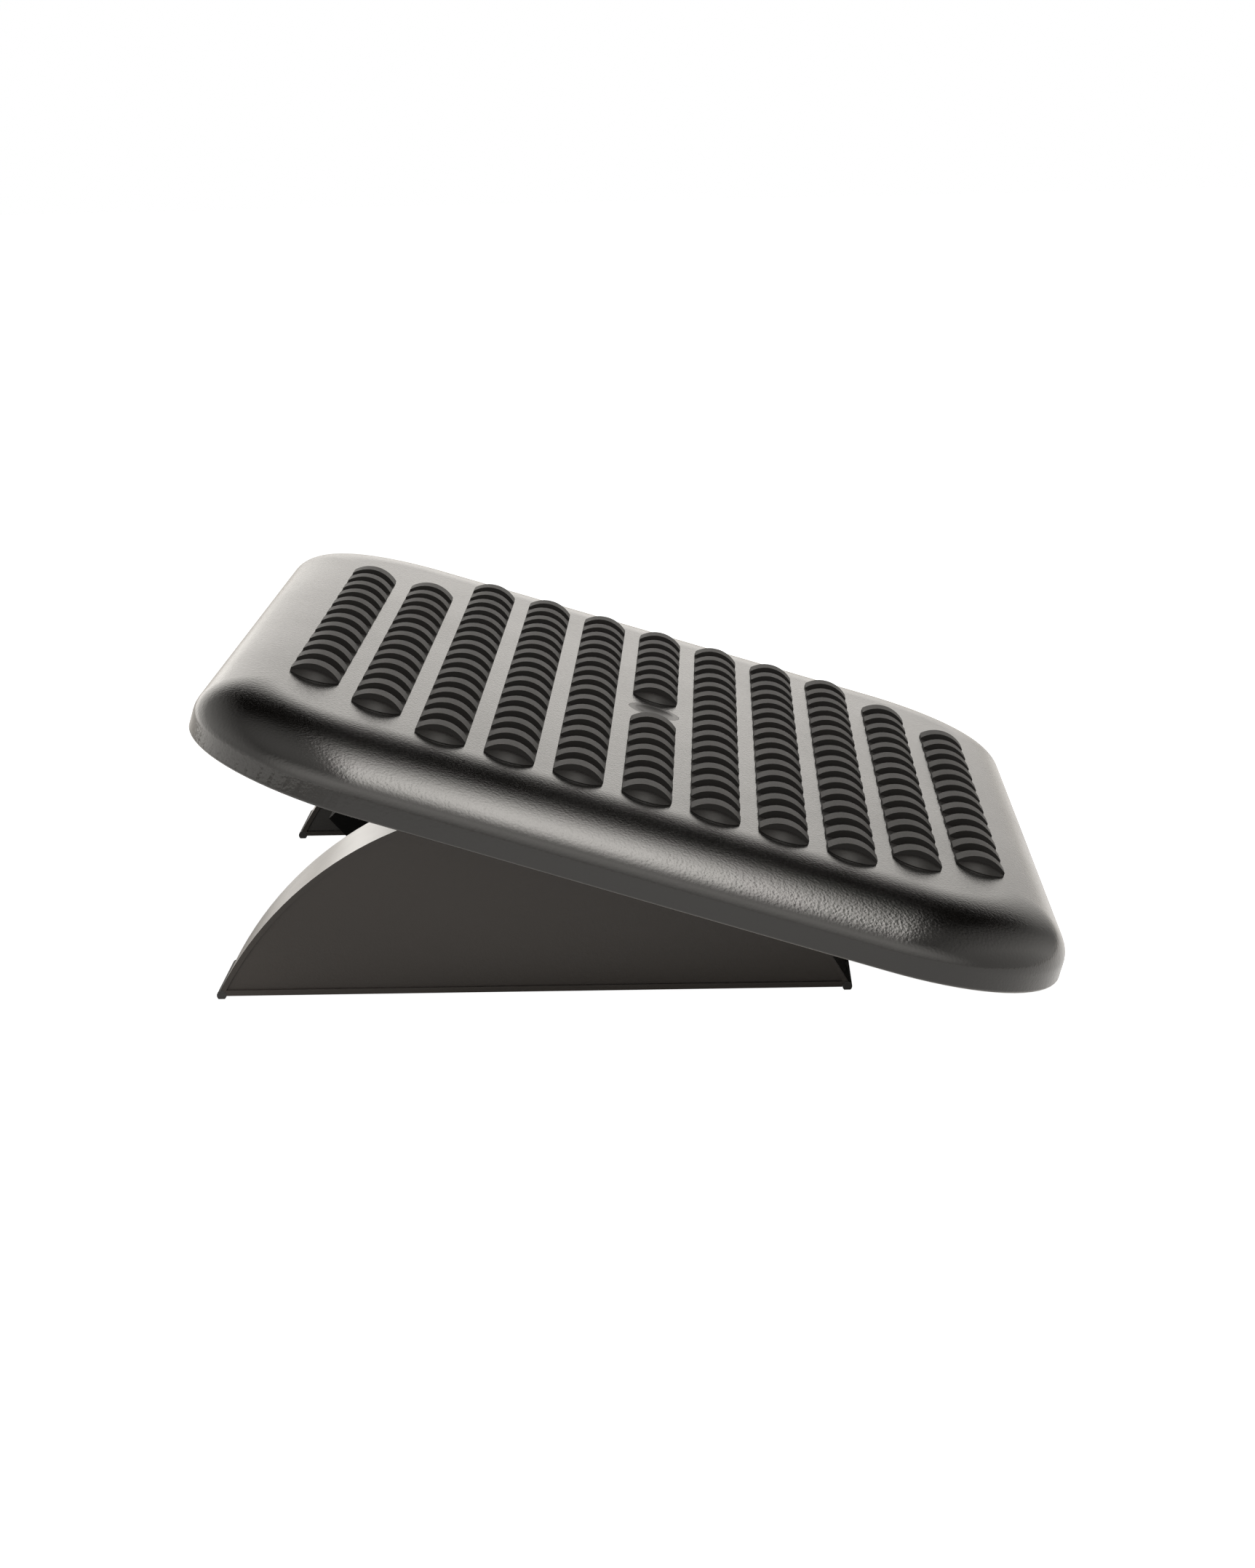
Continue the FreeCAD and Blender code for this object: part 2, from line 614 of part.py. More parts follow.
def make_shoe(side, end):
    # a saddle block that runs on the arc, with a cheek down each side of the support
    x_in = SUPPORT_IN - CHEEK_GAP - CHEEK_T
    x_out = SUPPORT_OUT + CHEEK_GAP + CHEEK_T
    top = DECK_UNDER
    body = box(x_in, x_out, SHOE_Y0, SHOE_Y1, 0, top)
    ring = rod_x(ARC_R + SLIDE_GAP - CHEEK_H, x_in - 1, x_out + 1, 0, 0)
    body = body.cut(ring)
    channel = rod_x(ARC_R + SLIDE_GAP, SUPPORT_IN - CHEEK_GAP,
                    SUPPORT_OUT + CHEEK_GAP, 0, 0)
    body = body.cut(channel)
    # weight saving pocket from above
    body = body.cut(box(SHOE_SCREW_X[0] + POCKET_IN, SHOE_SCREW_X[1] - POCKET_IN,
                        SHOE_SCREW_Y - POCKET_BACK, SHOE_Y1 - POCKET_END, top - POCKET_H, top + 1))
    if end < 0:
        body = body.mirror(ORIGIN, AY)
    if side < 0:
        body = body.mirror(ORIGIN, AX)
    for x, y in shoe_screws():
        if x * side > 0 and y * end > 0:
            body = body.cut(rod_z(SHOE_BOSS_R + SHOE_BOSS_FIT, x, y, top - SHOE_BOSS_H, top + 1))
            body = body.cut(rod_z(SMALL_R + SCREW_FIT, x, y, 0, top))
            body = body.cut(rod_z(SMALL_HEAD_R + 0.2, x, y, 0, shoe_seat()))
    return body


def shoe_seat():
    return SHOE_SCREW_TOP - SMALL_LEN


def make_shoe_screws():
    out = []
    for x, y in shoe_screws():
        out.append(screw(SMALL_R, SMALL_LEN, SMALL_HEAD_R, SMALL_HEAD_H, V(x, y, shoe_seat()), AZ))
    return out


def make_saddle():
    top = DECK_UNDER - BOSS_H
    body = box(-SADDLE_X, SADDLE_X, MIDDLE_Y - SADDLE_Y, MIDDLE_Y + SADDLE_Y, 0, top)
    body = body.cut(rod_x(ARC_R + SLIDE_GAP, -SADDLE_X - 1, SADDLE_X + 1, 0, 0))
    return body.cut(rod_z(BOLT_R + BOLT_FIT, 0, MIDDLE_Y, 0, top + 1))


def make_clamp():
    body = rod_x(ARC_R - RAIL_T - SLIDE_GAP, -CLAMP_X, CLAMP_X, 0, 0)
    body = body.common(box(-CLAMP_X - 1, CLAMP_X + 1, MIDDLE_Y - CLAMP_Y, MIDDLE_Y + CLAMP_Y,
                           CLAMP_BASE, ARC_R))
    return body.cut(rod_z(BOLT_R + BOLT_FIT, 0, MIDDLE_Y, 0, ARC_R))


def make_bolt():
    seat = DECK_TOP - RECESS_FLOOR
    body = rod_z(BOLT_R, 0, 0, BOLT_END, seat)
    head = rod_z(BOLT_HEAD_R, 0, 0, seat, seat + BOLT_HEAD_H)
    rim = [e for e in head.Edges if abs(e.CenterOfMass.z - seat - BOLT_HEAD_H) < 0.01
           and len(e.Vertexes) == 1]
    head = head.makeFillet(0.8, rim)
    body = body.fuse(head).removeSplitter()
    return body.cut(hexagon(BOLT_SOCKET_AF, seat + BOLT_HEAD_H - BOLT_SOCKET_H,
                            seat + BOLT_HEAD_H + 1))


def hexagon(af, z0, z1):
    r = af / math.sqrt(3)
    points = []
    for i in range(7):
        a = math.radians(60 * i)
        points.append(V(r * math.cos(a), r * math.sin(a), z0))
    return Part.Face(Part.makePolygon(points)).extrude(V(0, 0, z1 - z0))


def make_spring():
    # dished spring washer, wide side up
    z1 = CLAMP_BASE
    z0 = z1 - SPRING_H
    inner = BOLT_R + 0.25
    section = [V(inner, 0, z0), V(SPRING_R, 0, z1 - SPRING_T), V(SPRING_R, 0, z1),
               V(inner, 0, z0 + SPRING_T), V(inner, 0, z0)]
    return Part.Face(Part.makePolygon(section)).revolve(ORIGIN, AZ, 360)


def make_nut():
    z1 = NUT_TOP
    z0 = z1 - NUT_H
    body = hexagon(NUT_AF, z0, z1)
    cone = Part.makeCone(NUT_AF / 2 * 0.97, NUT_AF / 2 * 0.97 + NUT_H, NUT_H, V(0, 0, z0), AZ)
    body = body.common(cone)
    return body.cut(rod_z(BOLT_R, 0, 0, z0 - 1, z1 + 1))


def make_cap():
    body = rod_z(CAP_R, 0, 0, DECK_TOP - CAP_T, DECK_TOP)
    r = (CAP_DISH_R ** 2 + CAP_DISH ** 2) / (2 * CAP_DISH)
    ball = Part.makeSphere(r, V(0, 0, DECK_TOP - CAP_DISH + r))
    body = body.cut(ball)
    # skirt that snaps around the bolt head
    skirt = rod_z(CAP_R - 0.6, 0, 0, DECK_TOP - RECESS_FLOOR, DECK_TOP - CAP_T + 0.2)
    skirt = skirt.cut(rod_z(CAP_R - 2.0, 0, 0, DECK_TOP - RECESS_FLOOR - 1, DECK_TOP - CAP_T))
    return body.fuse(skirt).removeSplitter()


save("side_support_left", make_support(-1), place_base)
save("side_support_right", make_support(1), place_base)
save("inner_cover_left", make_cover(-1), place_base)
save("inner_cover_right", make_cover(1), place_base)
save("cover_screws", Part.makeCompound(make_cover_screws(-1) + make_cover_screws(1)), place_base)
save("cross_tube_front", make_tube(-TUBE_Y), place_base)
save("cross_tube_rear", make_tube(TUBE_Y), place_base)
save("guide_rail", make_rail(), place_base)
save("base_screws", Part.makeCompound(make_base_screws()), place_base)
save("foot_strips", Part.makeCompound(make_strips()), place_base)
save("deck", make_deck(), place_deck)
for name, spec in zip(BAR_NAMES, BARS):
    save(name, make_bar(*spec), place_deck)
save("slide_shoe_front_left", make_shoe(-1, -1), place_deck)
save("slide_shoe_front_right", make_shoe(1, -1), place_deck)
save("slide_shoe_rear_left", make_shoe(-1, 1), place_deck)
save("slide_shoe_rear_right", make_shoe(1, 1), place_deck)
save("shoe_screws", Part.makeCompound(make_shoe_screws()), place_deck)
save("centre_saddle", make_saddle(), place_deck)
save("clamp_block", make_clamp(), place_deck)
save("clamp_bolt", make_bolt(), place_clamp)
save("spring_washer", make_spring(), place_clamp)
save("clamp_nut", make_nut(), place_clamp)
save("centre_cap", make_cap(), place_clamp)
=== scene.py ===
import json
import math

import bmesh
import bpy
from bpy.props import FloatProperty, FloatVectorProperty, PointerProperty
from mathutils import Matrix, Vector


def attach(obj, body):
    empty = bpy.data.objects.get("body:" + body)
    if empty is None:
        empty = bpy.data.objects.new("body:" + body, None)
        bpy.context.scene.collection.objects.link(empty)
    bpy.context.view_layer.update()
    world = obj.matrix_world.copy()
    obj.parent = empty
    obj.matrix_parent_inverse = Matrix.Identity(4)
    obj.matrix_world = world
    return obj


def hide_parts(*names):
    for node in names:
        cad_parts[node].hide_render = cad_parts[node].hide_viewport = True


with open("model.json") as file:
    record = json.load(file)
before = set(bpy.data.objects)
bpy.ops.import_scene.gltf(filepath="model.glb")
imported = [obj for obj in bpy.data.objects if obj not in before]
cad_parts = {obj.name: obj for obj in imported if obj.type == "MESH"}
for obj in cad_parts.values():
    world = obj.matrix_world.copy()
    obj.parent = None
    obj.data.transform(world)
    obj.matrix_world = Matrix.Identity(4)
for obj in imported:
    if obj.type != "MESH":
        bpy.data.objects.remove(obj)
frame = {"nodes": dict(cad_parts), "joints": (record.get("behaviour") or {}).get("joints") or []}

bl_info = {
    "name": "Tilting footrest",
    "version": (1, 0, 0),
    "blender": (4, 5, 0),
    "location": "3D View > Sidebar > Footrest",
    "description": "Builds and finishes a tilting footrest around its packed parts",
    "category": "Object",
}

NODES = frame["nodes"]

# Tilt of the deck as stored, and its axis: the middle of every sliding arc
AXIS = Vector(frame["joints"][0]["pos_m"])
TILT = math.radians(17.5)
ARC_R = 0.1387
ARC_SKIN = 0.00025     # what lies farther inside the arc than this isn't polished
DECK_TOP = 0.14963

# The deck lies level about the axis before it is turned
LEVEL = Matrix.Translation(AXIS) @ Matrix.Rotation(TILT, 4, "X")

DECK_Y = 0.0008        # middle of the deck, from the axis
DECK_HALF_X = 0.225
DECK_HALF_Y = 0.1735
DECK_CORNER = 0.072
SHOULDER_X = 0.052     # reach of the shoulder at the short sides
SHOULDER_Y = 0.027     # and at the long sides
SHOULDER_DROP = 0.0165
SKIRT_H = 0.0075

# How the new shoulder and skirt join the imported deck
WELD = 0.000002                 # corners closer than this are one corner
SHARP_EDGE = math.radians(28)   # edges that turn more than this stay sharp
UPRIGHT = 0.002                 # a face whose normal rises less than this is upright
OFF_FLAT = 0.00005              # faces farther than this from the flat are shoulder
SKIN = 0.0006                   # upright faces this near the outline are skirt
TUCK = 0.0003                   # the shoulder starts this far inside the flat's edge
LIFT = 0.000004                 # and this far above it
SKIRT_END = 0.0013              # the new skirt ends this far above the foot, a little
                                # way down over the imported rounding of 1.6 mm

# Unevenness of the moulded plastics
UNEVEN_TONE = 0.12     # broad, in the colour, each way
UNEVEN_SHEEN = 0.10    # broad, in the roughness, over its whole range
GRAIN_SHEEN = 0.12     # the same from the fine grain

# Camera, from the photograph's viewing place
CAMERA_AT = (-1.40155, -0.03811, 0.36366)
CAMERA_LOOK = (0.97516, 0.02920, -0.21953)
CAMERA_RIGHT = (0.02993, -0.99955, 0.0)
CAMERA_ROLL = -0.023465
SENSOR = 36.0

# Lamps: place, aim, width and depth
TOP_LAMP = (0.05, -0.26, 1.0), (0.05, -0.26, 0.0), 1.0, 1.0
FRONT_LAMP = (-0.95, -0.1, 1.15), (-0.15, 0.0, 0.03), 0.5, 0.5

FLOOR_HALF = 6.0
FLOOR_DROP = 0.0002    # the floor lies this far below the foot strips
WHITE = (1.0, 1.0, 1.0)


# Settings


class FootrestDeckSettings(bpy.types.PropertyGroup):
    """Finish of the deck, its bars and its cap"""
    colour: FloatVectorProperty(
        name="Deck colour", description="Charcoal of the moulded deck",
        default=(0.0022, 0.0019, 0.0016), size=3, subtype="COLOR", min=0, max=1)
    roughness: FloatProperty(
        name="Deck roughness", description="Sheen of the fine texture",
        default=0.18, min=0, max=1, subtype="FACTOR")
    grain: FloatProperty(
        name="Grain size", description="Size of the moulded grain",
        default=0.0011, min=0.0002, max=0.01, subtype="DISTANCE", unit="LENGTH")
    bar_colour: FloatVectorProperty(
        name="Bar colour", description="Darker matt charcoal of the massage bars",
        default=(0.0060, 0.0055, 0.0050), size=3, subtype="COLOR", min=0, max=1)
    bar_roughness: FloatProperty(
        name="Bar roughness", description="Sheen of the bars",
        default=0.46, min=0, max=1, subtype="FACTOR")


class FootrestBaseSettings(bpy.types.PropertyGroup):
    """Finish of the base"""
    colour: FloatVectorProperty(
        name="Support colour", description="Charcoal of the side supports",
        default=(0.027, 0.0222, 0.0188), size=3, subtype="COLOR", min=0, max=1)
    arc_roughness: FloatProperty(
        name="Arc roughness", description="Polish of the sliding arcs",
        default=0.16, min=0, max=1, subtype="FACTOR")
    cover_colour: FloatVectorProperty(
        name="Cover colour", description="Black of the inner covers",
        default=(0.010, 0.0095, 0.009), size=3, subtype="COLOR", min=0, max=1)


class FootrestStageSettings(bpy.types.PropertyGroup):
    """Floor, light and camera"""
    floor_colour: FloatVectorProperty(
        name="Floor colour", description="Pale floor",
        default=(0.86, 0.86, 0.86), size=3, subtype="COLOR", min=0, max=1)
    fill: FloatProperty(
        name="Room light", description="Light from all round",
        default=0.10, min=0, max=5)
    top_power: FloatProperty(
        name="Overhead lamp", description="Power of the overhead soft lamp",
        default=3.0, min=0, max=500, unit="POWER")
    front_power: FloatProperty(
        name="Front lamp", description="Power of the soft lamp beside the camera",
        default=14.0, min=0, max=500, unit="POWER")
    lens: FloatProperty(
        name="Lens", description="Focal length of the camera",
        default=76.81, min=10, max=300, subtype="DISTANCE_CAMERA")


# Shader building


class Sock:
    """A node socket that can be used in sums and products"""

    def __init__(self, tree, out):
        self.tree = tree
        self.out = out

    def _sum(self, operation, a, b, clamp=False):
        node = self.tree.nodes.new("ShaderNodeMath")
        node.operation = operation
        node.use_clamp = clamp
        for i, v in enumerate((a, b)):
            if isinstance(v, Sock):
                self.tree.links.new(v.out, node.inputs[i])
            elif v is not None:
                node.inputs[i].default_value = v
        return Sock(self.tree, node.outputs[0])

    def __add__(self, o): return self._sum("ADD", self, o)
    def __radd__(self, o): return self._sum("ADD", o, self)
    def __sub__(self, o): return self._sum("SUBTRACT", self, o)
    def __rsub__(self, o): return self._sum("SUBTRACT", o, self)
    def __mul__(self, o): return self._sum("MULTIPLY", self, o)
    def __truediv__(self, o): return self._sum("DIVIDE", self, o)
    def __pow__(self, o): return self._sum("POWER", self, o)
    def __gt__(self, o): return self._sum("GREATER_THAN", self, o)
    def least(self, o): return self._sum("MINIMUM", self, o)
    def most(self, o): return self._sum("MAXIMUM", self, o)
    def root(self): return self._sum("SQRT", self, None)
    def size(self): return self._sum("ABSOLUTE", self, None)
    def clamped(self): return self._sum("ADD", self, 0.0, True)

    def other(self, name):
        """Another output of the same node"""
        return Sock(self.tree, self.out.node.outputs[name])


class Finish:
    """A material, or the world, and its nodes"""

    def __init__(self, name, world=False):
        self.block = bpy.data.worlds.new(name) if world else bpy.data.materials.new(name)
        self.block.use_nodes = True
        self.tree = self.block.node_tree
        self.tree.nodes.clear()

    def node(self, kind, settings=None, sockets=None, output=0):
        """One node: its type, its settings, then the values or links of its sockets"""
        node = self.tree.nodes.new(kind)
        for key, value in (settings or {}).items():
            setattr(node, key, value)
        for key, value in (sockets or {}).items():
            if isinstance(value, Sock):
                self.tree.links.new(value.out, node.inputs[key])
            else:
                node.inputs[key].default_value = value
        return Sock(self.tree, node.outputs[output]) if node.outputs else None

    def place(self):
        """Object coordinates"""
        return self.node("ShaderNodeTexCoord", output="Object")

    def noise(self, where, scale, detail, roughness):
        return self.node("ShaderNodeTexNoise", {}, {
            "Vector": where, "Scale": scale, "Detail": detail, "Roughness": roughness})

    def blend(self, factor, a, b):
        """Mix of two colours"""
        ends = [(*c, 1.0) if isinstance(c, tuple) else c for c in (a, b)]
        sockets = {0: factor, 6: ends[0], 7: ends[1]}
        return self.node("ShaderNodeMix", {"data_type": "RGBA"}, sockets, output=2)

    def bump(self, height, distance):
        return self.node("ShaderNodeBump", {}, {"Height": height, "Distance": distance,
                                                "Strength": 1.0})

    def surface(self, sockets):
        """The finished material"""
        shader = self.node("ShaderNodeBsdfPrincipled", {}, sockets)
        self.node("ShaderNodeOutputMaterial", {}, {"Surface": shader})
        return self.block


def tint(colour, amount):
    """A colour made darker or lighter"""
    return tuple(min(1.0, c * amount) for c in colour)


def moulded(name, colour, roughness, grain, depth, shine=0.5):
    """Moulded plastic with a fine grain, a little uneven in tone and sheen"""
    f = Finish(name)
    where = f.place()
    fine = f.noise(where, 1.0 / grain, 2.0, 0.6)
    cells = f.node("ShaderNodeTexVoronoi", {"feature": "F1"},
                   {"Vector": where, "Scale": 0.9 / grain})
    broad = f.noise(where, 14.0, 3.0, 0.55)
    base = f.blend(broad, tint(colour, 1 - UNEVEN_TONE), tint(colour, 1 + UNEVEN_TONE))
    base = f.blend((fine - 0.35) * 0.5, base, tint(colour, 1.5))
    sheen = roughness + (broad - 0.5) * UNEVEN_SHEEN + (fine - 0.5) * GRAIN_SHEEN
    bumps = f.bump(fine * 0.7 + cells * 0.5, depth)
    return f.surface({"Base Color": base, "Roughness": sheen, "Normal": bumps,
                      "Specular IOR Level": shine})


def set_finish(names, material):
    """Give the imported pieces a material"""
    for name in names:
        for slot in NODES[name].material_slots:
            slot.material = material


# Operators


def add_piece(name, bm, material, body, node):
    """Turn a mesh under construction into a piece that rides on a body and replaces a node"""
    mesh = bpy.data.meshes.new(name)
    bm.to_mesh(mesh)
    bm.free()
    piece = bpy.data.objects.new(name, mesh)
    bpy.context.scene.collection.objects.link(piece)
    mesh.materials.append(material)
    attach(piece, body)
    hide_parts(node)


def outline(bm, half_x, half_y, corner, z, steps):
    """A level rounded rectangle about the middle of the deck, as a ring of edges"""
    made = bmesh.ops.create_grid(bm, x_segments=1, y_segments=1, size=1.0)["verts"]
    bmesh.ops.scale(bm, verts=made, vec=(half_x, half_y, 1.0))
    bmesh.ops.translate(bm, verts=made, vec=(0, DECK_Y, z))
    face = made[0].link_faces[0]
    made = bmesh.ops.bevel(bm, geom=made, offset=corner, offset_type="OFFSET", segments=steps,
                           profile=0.5, affect="VERTICES", material=-1)
    ring = {e for v in made["verts"] for e in v.link_edges}
    for f in {f for e in ring for f in e.link_faces}:
        bmesh.ops.delete(bm, geom=[f], context="FACES_ONLY")
    return list(ring)


def shoulder_insets(turn):
    """How far in and down the shoulder lies, from the flat (0) to the skirt (a quarter turn)"""
    out = 1 - math.sin(turn)
    return SHOULDER_X * out, SHOULDER_Y * out, SHOULDER_DROP * (1 - math.cos(turn))


def beyond(half_x, half_y, corner, x, y):
    """Distance of a place outside a rounded rectangle about the middle of the deck"""
    dx = abs(x) - (half_x - corner)
    dy = abs(y - DECK_Y) - (half_y - corner)
    return math.hypot(max(dx, 0), max(dy, 0)) + min(max(dx, dy), 0) - corner


def deck_shell(bands=40, steps=28):
    """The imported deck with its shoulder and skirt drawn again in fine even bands"""
    bm = bmesh.new()
    deck = NODES["deck"]
    bm.from_mesh(deck.data)
    bmesh.ops.transform(bm, matrix=LEVEL.inverted() @ deck.matrix_world, verts=bm.verts)
    bmesh.ops.remove_doubles(bm, verts=bm.verts, dist=WELD)
    bm.normal_update()
    flat_corner = DECK_CORNER - (SHOULDER_X + SHOULDER_Y) / 2
    foot = DECK_TOP - SHOULDER_DROP - SKIRT_H
    outer = []
    for f in bm.faces:
        c = f.calc_center_median()
        off_flat = beyond(DECK_HALF_X - SHOULDER_X, DECK_HALF_Y - SHOULDER_Y, flat_corner,
                          c.x, c.y)
        wall = beyond(DECK_HALF_X, DECK_HALF_Y, DECK_CORNER, c.x, c.y)
        shoulder = (off_flat > OFF_FLAT and f.normal.z > UPRIGHT
                    and c.z > foot + SKIRT_H * 0.9)
        skirt = abs(f.normal.z) < UPRIGHT and wall > -SKIN
        if shoulder or skirt:
            outer.append(f)
    bmesh.ops.delete(bm, geom=outer, context="FACES")
    for e in bm.edges:
        e.smooth = len(e.link_faces) == 2 and e.calc_face_angle(0.0) < SHARP_EDGE
    for f in bm.faces:
        f.smooth = True
    rings = [outline(bm, DECK_HALF_X - SHOULDER_X - TUCK, DECK_HALF_Y - SHOULDER_Y - TUCK,
                     flat_corner, DECK_TOP + LIFT, steps)]
    for i in range(1, bands + 1):
        in_x, in_y, drop = shoulder_insets(math.pi / 2 * i / bands)
        rings.append(outline(bm, DECK_HALF_X - in_x, DECK_HALF_Y - in_y,
                             DECK_CORNER - (in_x + in_y) / 2, DECK_TOP - drop, steps))
    rings.append(outline(bm, DECK_HALF_X, DECK_HALF_Y, DECK_CORNER, foot + SKIRT_END, steps))
    bands_made = []
    for upper, lower in zip(rings, rings[1:]):
        bands_made += bmesh.ops.bridge_loops(bm, edges=upper + lower)["faces"]
    bmesh.ops.recalc_face_normals(bm, faces=bands_made)
    for f in bands_made:
        f.smooth = True
    bmesh.ops.transform(bm, matrix=LEVEL, verts=bm.verts)
    return bm


class FOOTREST_OT_deck(bpy.types.Operator):
    """Build the moulded deck with an even shoulder"""
    bl_idname = "footrest.deck"
    bl_label = "Deck"

    def execute(self, context):
        s = context.scene.footrest_deck
        plastic = moulded("deck_charcoal", tuple(s.colour), s.roughness, s.grain, 0.00006)
        set_finish(["deck"], plastic)
        add_piece("deck_shell", deck_shell(), plastic, "platform", "deck")
        return {"FINISHED"}


class FOOTREST_OT_bars(bpy.types.Operator):
    """Finish the massage bars"""
    bl_idname = "footrest.bars"
    bl_label = "Massage bars"

    def execute(self, context):
        s = context.scene.footrest_deck
        names = sorted(n for n in NODES if n.startswith("massage_bar"))
        set_finish(names, moulded("bar_charcoal", tuple(s.bar_colour), s.bar_roughness,
                                  0.0007, 0.00003, shine=0.17))
        return {"FINISHED"}


class FOOTREST_OT_cap(bpy.types.Operator):
    """Finish the round cap in the middle of the deck"""
    bl_idname = "footrest.cap"
    bl_label = "Centre cap"

    def execute(self, context):
        s = context.scene.footrest_deck
        set_finish(["centre_cap"], moulded("cap_charcoal", tuple(s.colour), 0.3, 0.0006, 0.00002))
        return {"FINISHED"}


def support_finish(s):
    """Textured sides, smooth polished arc"""
    f = Finish("support_charcoal")
    where = f.place()
    parts = f.node("ShaderNodeSeparateXYZ", {}, {"Vector": where})
    y = parts.other("Y") - AXIS.y
    z = parts.other("Z") - AXIS.z
    radius = (y * y + z * z).root()
    arc = radius > ARC_R - ARC_SKIN
    fine = f.noise(where, 1100.0, 2.0, 0.6)
    broad = f.noise(where, 11.0, 3.0, 0.5)
    colour = tuple(s.colour)
    base = f.blend(broad, tint(colour, 0.88), tint(colour, 1.12))
    base = f.blend((fine - 0.4) * 0.4, base, tint(colour, 1.5))
    rubbed = f.noise(where, 60.0, 4.0, 0.6)
    rough = 0.45 + (fine - 0.5) * 0.15
    smooth = s.arc_roughness + (rubbed - 0.5) * 0.10
    sheen = rough * (1 - arc) + smooth * arc
    bumps = f.bump(fine * (1 - arc), 0.00004)
    return f.surface({"Base Color": base, "Roughness": sheen, "Normal": bumps,
                      "Specular IOR Level": 0.4})


class FOOTREST_OT_supports(bpy.types.Operator):
    """Finish the two side supports and their inner covers"""
    bl_idname = "footrest.supports"
    bl_label = "Side supports"

    def execute(self, context):
        s = context.scene.footrest_base
        set_finish(["side_support_left", "side_support_right"], support_finish(s))
        set_finish(["inner_cover_left", "inner_cover_right"],
                   moulded("cover_black", tuple(s.cover_colour), 0.45, 0.0008, 0.00003))
        return {"FINISHED"}


class FOOTREST_OT_crossing(bpy.types.Operator):
    """Finish the cross tubes, the guide rail, the slide shoes and the clamp"""
    bl_idname = "footrest.crossing"
    bl_label = "Tubes, rail and clamp"

    def execute(self, context):
        tube = moulded("tube_powder_coat", (0.022, 0.022, 0.022), 0.35, 0.0009, 0.00003)
        set_finish(["cross_tube_front", "cross_tube_rear"], tube)
        rail = moulded("rail_black", (0.014, 0.0135, 0.013), 0.75, 0.0009, 0.00002, shine=0.08)
        set_finish(["guide_rail"], rail)
        slide = moulded("slide_black", (0.040, 0.039, 0.037), 0.38, 0.0009, 0.00002)
        set_finish(["slide_shoe_front_left", "slide_shoe_front_right", "slide_shoe_rear_left",
                    "slide_shoe_rear_right", "centre_saddle", "clamp_block"], slide)
        return {"FINISHED"}


def zinc():
    """Zinc plate, a little cloudy"""
    f = Finish("zinc_plate")
    where = f.place()
    cloud = f.noise(where, 300.0, 3.0, 0.6)
    fine = f.noise(where, 2500.0, 2.0, 0.5)
    base = f.blend(cloud, (0.52, 0.52, 0.51), (0.66, 0.65, 0.62))
    return f.surface({"Base Color": base, "Roughness": 0.24 + cloud * 0.16, "Metallic": 1.0,
                      "Normal": f.bump(fine, 0.00001)})


class FOOTREST_OT_fasteners(bpy.types.Operator):
    """Finish the screws, the bolt, the nut and the spring washer"""
    bl_idname = "footrest.fasteners"
    bl_label = "Fasteners"

    def execute(self, context):
        set_finish(["cover_screws", "base_screws", "shoe_screws", "clamp_bolt", "spring_washer",
                    "clamp_nut"], zinc())
        return {"FINISHED"}


class FOOTREST_OT_feet(bpy.types.Operator):
    """Finish the rubber foot strips"""
    bl_idname = "footrest.feet"
    bl_label = "Foot strips"

    def execute(self, context):
        rubber = moulded("foot_rubber", (0.016, 0.016, 0.016), 0.6, 0.0006, 0.00003)
        set_finish(["foot_strips"], rubber)
        return {"FINISHED"}


def lamp(name, at, aim, width, depth, power):
    """A soft lamp that isn't mirrored; the room draws what is mirrored"""
    light = bpy.data.lights.new(name, "AREA")
    light.shape = "RECTANGLE"
    light.size = width
    light.size_y = depth
    light.energy = power
    obj = bpy.data.objects.new(name, light)
    obj.location = at
    obj.rotation_euler = (Vector(aim) - Vector(at)).to_track_quat("-Z", "Y").to_euler()
    obj.visible_glossy = False
    bpy.context.scene.collection.objects.link(obj)


def rays(f):
    """Whether a ray is seen by the camera, is mirrored, or has passed through something clear"""
    path = f.node("ShaderNodeLightPath")
    kinds = "Is Camera Ray", "Is Glossy Ray", "Is Transmission Ray"
    return [path.other(kind) for kind in kinds]


def floor_finish(colour):
    """White where it is seen, dimmer where it is mirrored, with a painted shadow under the
    footrest where the mirrored floor doesn't glow
    """
    f = Finish("floor_white")
    seen, mirrored, through = rays(f)
    where = f.node("ShaderNodeSeparateXYZ", {}, {"Vector": f.place()})
    # painted shadow: over the footrest's footprint the mirrored floor gets no glow
    shadow_across = ((0.19 - where.size()) * 20.0).clamped()
    shadow_along = ((0.21 - where.other("Y").size()) * 12.0).clamped()
    look = seen.most(mirrored * 0.63 * (1 - shadow_across * shadow_along)).most(through)
    cloud = f.noise(f.place(), 3.0, 2.0, 0.5)
    shade = f.blend(cloud, tint(colour, 0.99), tint(colour, 1.01))
    matt = f.node("ShaderNodeBsdfDiffuse", {}, {"Color": shade})
    tone = f.blend(mirrored, WHITE, (1.0, 0.92, 0.82))
    glow = f.node("ShaderNodeEmission", {}, {"Color": tone, "Strength": 1.0})
    both = f.node("ShaderNodeAddShader", {}, {0: matt, 1: glow})
    mixed = f.node("ShaderNodeMixShader", {}, {0: look, 1: matt, 2: both})
    f.node("ShaderNodeOutputMaterial", {}, {"Surface": mixed})
    return f.block


